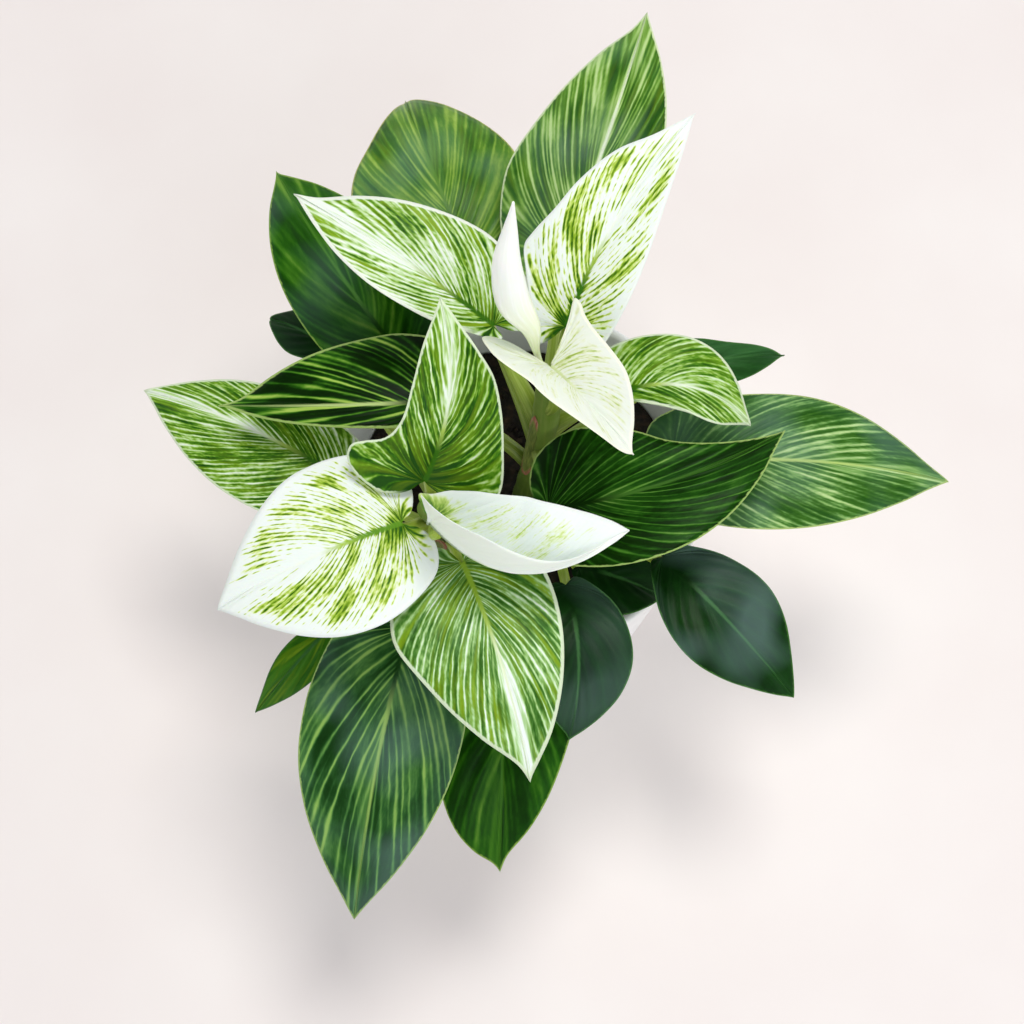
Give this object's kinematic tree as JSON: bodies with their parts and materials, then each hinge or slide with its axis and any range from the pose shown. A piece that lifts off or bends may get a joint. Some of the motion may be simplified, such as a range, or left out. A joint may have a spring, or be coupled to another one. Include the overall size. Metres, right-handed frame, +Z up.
{
  "type": "philodendron birkin in a pot",
  "caption": "Potted philodendron birkin: two short shoots with pinstriped green and white leaves in a white round pot with drain holes.",
  "frame": {"origin": "middle of the pot's flat underside", "axes": "+Z up; +X to the right and -Y towards the viewer of the front, where the second shoot stands"},
  "size_m": [0.3154, 0.3304, 0.3121],
  "materials": {
    "pot": "gloss",
    "potting_mix": "matte",
    "stem": "satin",
    "sheath": "matte",
    "leaf_white": "satin",
    "leaf_striped": "satin",
    "leaf_dark": "gloss"
  },
  "bodies": {
    "root": {"pot": "pot", "soil": "potting_mix", "stem_a": "stem", "stem_b": "stem", "sheath_1": "sheath", "sheath_2": "sheath", "sheath_3": "sheath", "spear": "leaf_white", "leaf_01": "leaf_white", "leaf_02": "leaf_white", "leaf_03": "leaf_striped", "leaf_04": "leaf_dark", "leaf_05": "leaf_dark", "leaf_06": "leaf_dark", "leaf_07": "leaf_striped", "leaf_08": "leaf_striped", "leaf_09": "leaf_white", "leaf_10": "leaf_white", "leaf_11": "leaf_striped", "leaf_12": "leaf_dark", "leaf_13": "leaf_striped", "leaf_14": "leaf_dark", "leaf_15": "leaf_striped", "leaf_16": "leaf_dark", "leaf_17": "leaf_dark", "leaf_18": "leaf_dark", "leaf_19": "leaf_dark", "leaf_20": "leaf_dark", "leaf_21": "leaf_dark", "leaf_22": "leaf_dark", "leaf_23": "leaf_dark"}
  },
  "joints": []
}
